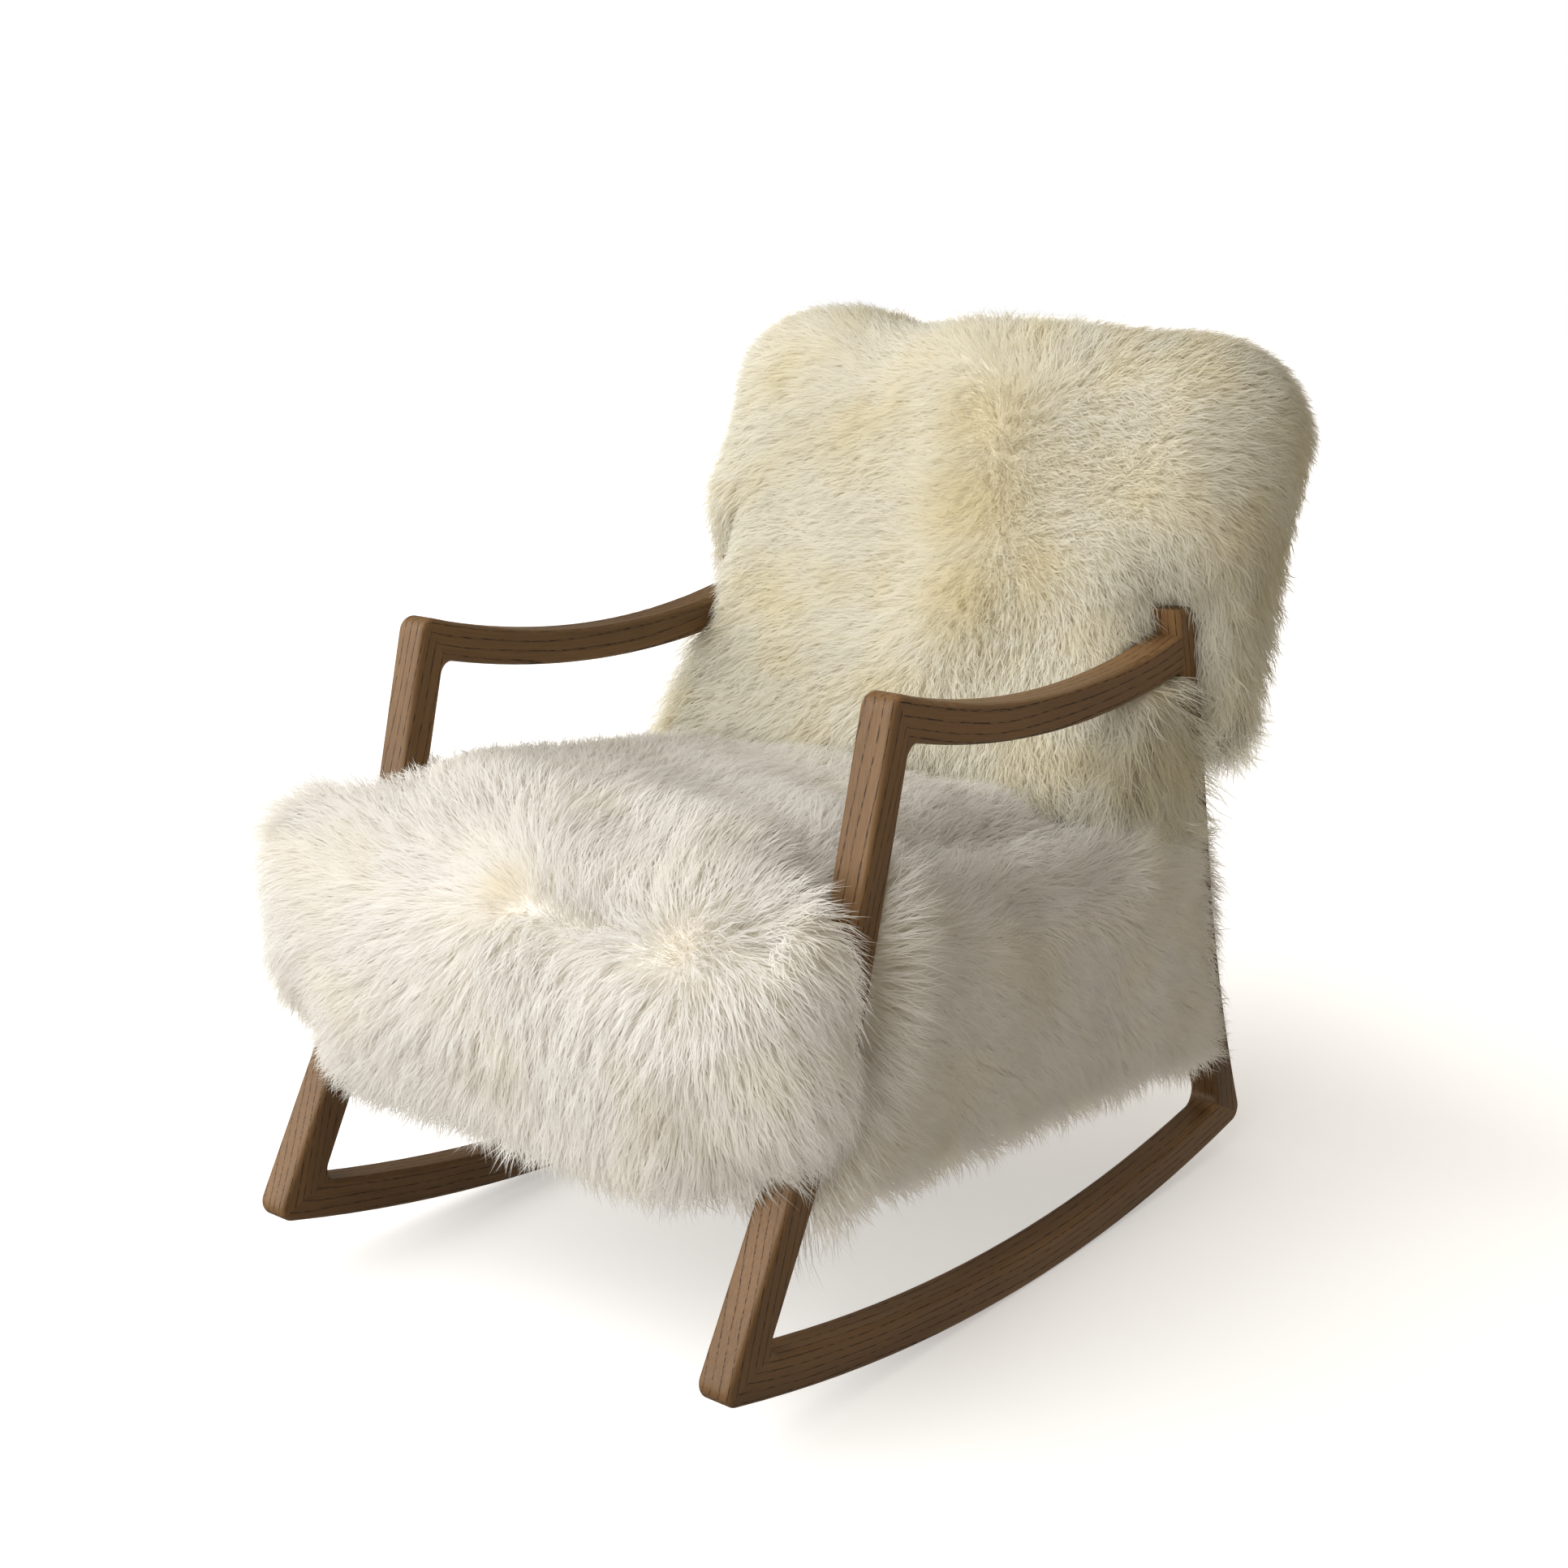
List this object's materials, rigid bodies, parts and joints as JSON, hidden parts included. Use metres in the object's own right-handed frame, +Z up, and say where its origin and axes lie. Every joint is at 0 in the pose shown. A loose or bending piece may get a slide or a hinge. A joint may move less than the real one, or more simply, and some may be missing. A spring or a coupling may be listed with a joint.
{
  "type": "rocking armchair",
  "caption": "Rocking armchair with curved, stained ash side frames and a deep seat and reclined back covered in long cream sheepskin wool; it rocks on its curved rockers",
  "frame": {"origin": "on the floor, midway between the rockers, where they touch it while the empty chair rests", "axes": "+X is the sitter's left, -Y is the front, +Z is up"},
  "size_m": [0.67, 0.936, 0.9192],
  "materials": {
    "frame_ash": "satin",
    "dowel_beech": "matte",
    "seat_frame_wood": "matte",
    "webbing": "matte",
    "dust_cover_cloth": "matte",
    "foam": "matte",
    "seat_wool": "matte",
    "back_wool": "matte",
    "zinc_steel": "satin",
    "brass_insert": "satin"
  },
  "bodies": {
    "root": {"front_leg_left": "frame_ash", "front_leg_right": "frame_ash", "armrest_left": "frame_ash", "armrest_right": "frame_ash", "rear_leg_left": "frame_ash", "rear_leg_right": "frame_ash", "rocker_left": "frame_ash", "rocker_right": "frame_ash", "frame_dowels_left": "dowel_beech", "frame_dowels_right": "dowel_beech", "seat_side_panel_left": "seat_frame_wood", "seat_side_panel_right": "seat_frame_wood", "seat_front_rail": "seat_frame_wood", "seat_cross_rail": "seat_frame_wood", "seat_rear_rail": "seat_frame_wood", "seat_corner_blocks": "seat_frame_wood", "seat_rear_deck": "seat_frame_wood", "seat_front_board": "seat_frame_wood", "back_stile_left": "seat_frame_wood", "back_stile_right": "seat_frame_wood", "back_bottom_rail": "seat_frame_wood", "back_middle_rail": "seat_frame_wood", "back_top_rail": "seat_frame_wood", "seat_webbing_lengthwise": "webbing", "seat_webbing_crosswise": "webbing", "back_webbing": "webbing", "seat_dust_cover": "dust_cover_cloth", "seat_foam": "foam", "seat_front_bolster": "foam", "back_foam": "foam", "back_rear_padding": "foam", "back_side_pad_left": "foam", "back_side_pad_right": "foam", "seat_sheepskin": "seat_wool", "seat_rear_sheepskin": "seat_wool", "seat_side_sheepskin_left": "seat_wool", "seat_side_sheepskin_right": "seat_wool", "back_front_sheepskin": "back_wool", "back_rear_sheepskin": "back_wool", "back_side_sheepskin_left": "back_wool", "back_side_sheepskin_right": "back_wool", "seat_bolts": "zinc_steel", "seat_washers": "zinc_steel", "back_bolts": "zinc_steel", "back_washers": "zinc_steel", "seat_threaded_inserts": "brass_insert", "back_threaded_inserts": "brass_insert"}
  },
  "joints": []
}
